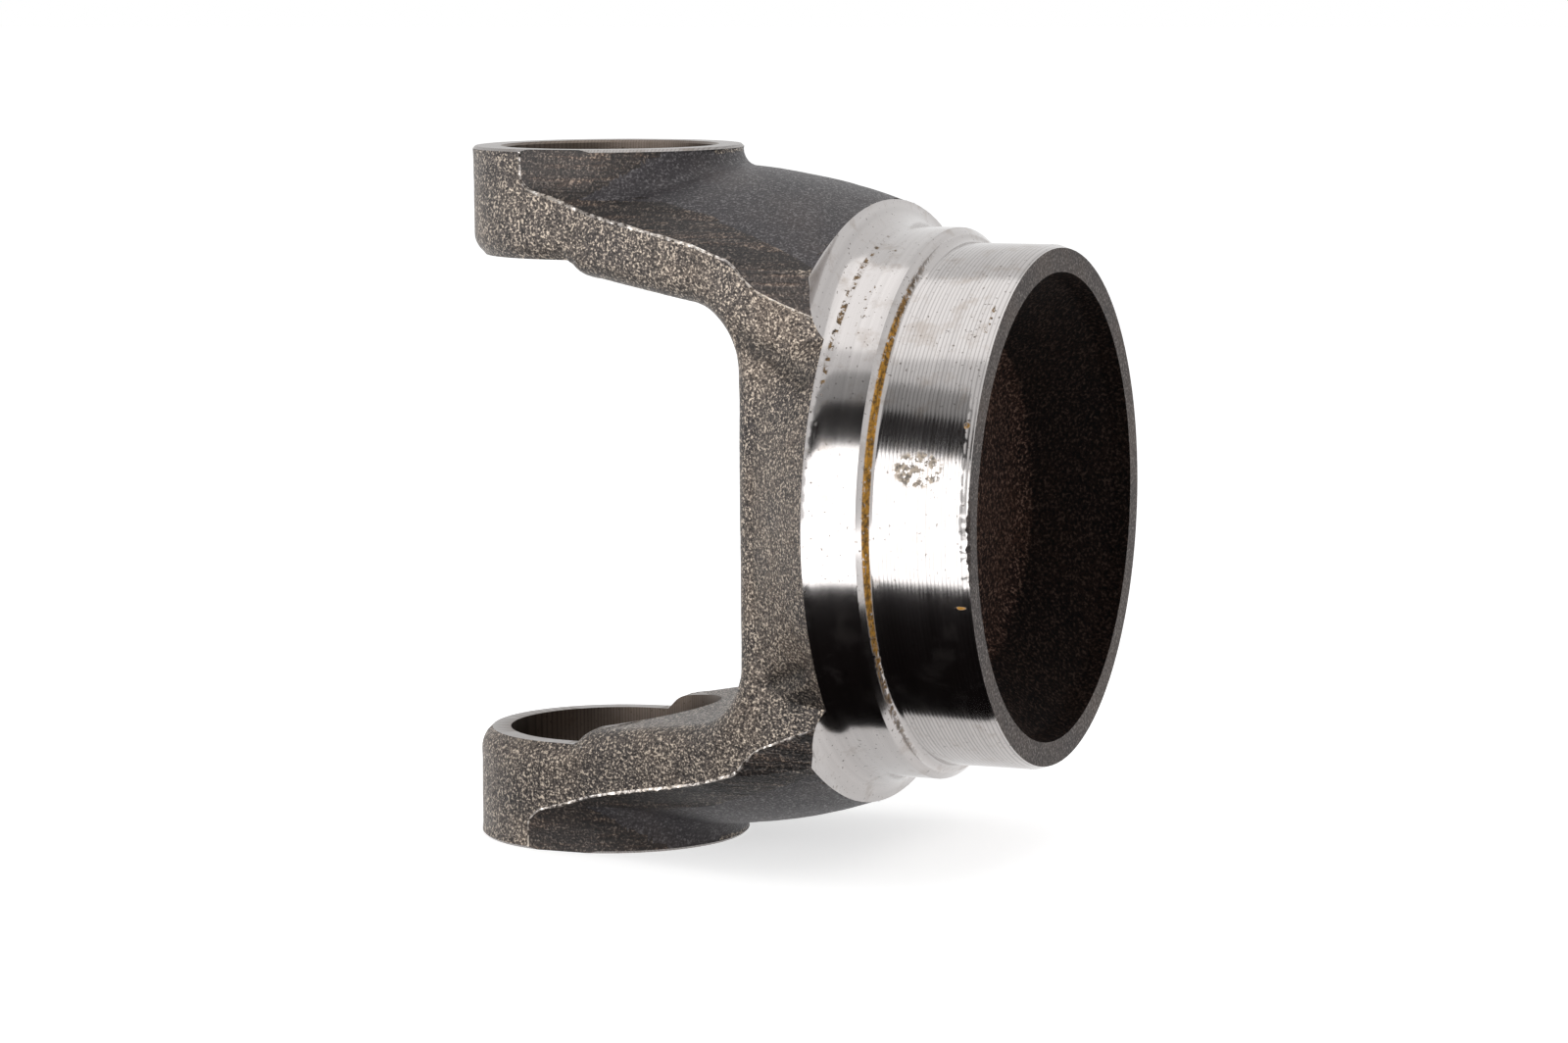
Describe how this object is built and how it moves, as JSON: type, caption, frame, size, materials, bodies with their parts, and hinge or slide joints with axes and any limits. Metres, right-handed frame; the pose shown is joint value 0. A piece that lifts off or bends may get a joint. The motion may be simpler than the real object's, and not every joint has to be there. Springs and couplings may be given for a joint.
{
  "type": "driveshaft tube yoke",
  "caption": "One-piece forged steel yoke: two bored ears take the caps of a joint cross, and a turned round end presses into and welds to a shaft tube.",
  "frame": {"origin": "where the axis of the two ear bores crosses the shaft axis, which is the centre of the joint cross", "axes": "+X along the shaft axis, out of the weld end; +Z along the axis of the two ear bores; +Y across the arms"},
  "size_m": [0.0859, 0.0772, 0.098],
  "materials": {
    "forged_steel": "shot-blasted forging with machined weld end and ear faces"
  },
  "bodies": {
    "root": {"forged_yoke": "forged_steel"}
  },
  "joints": []
}
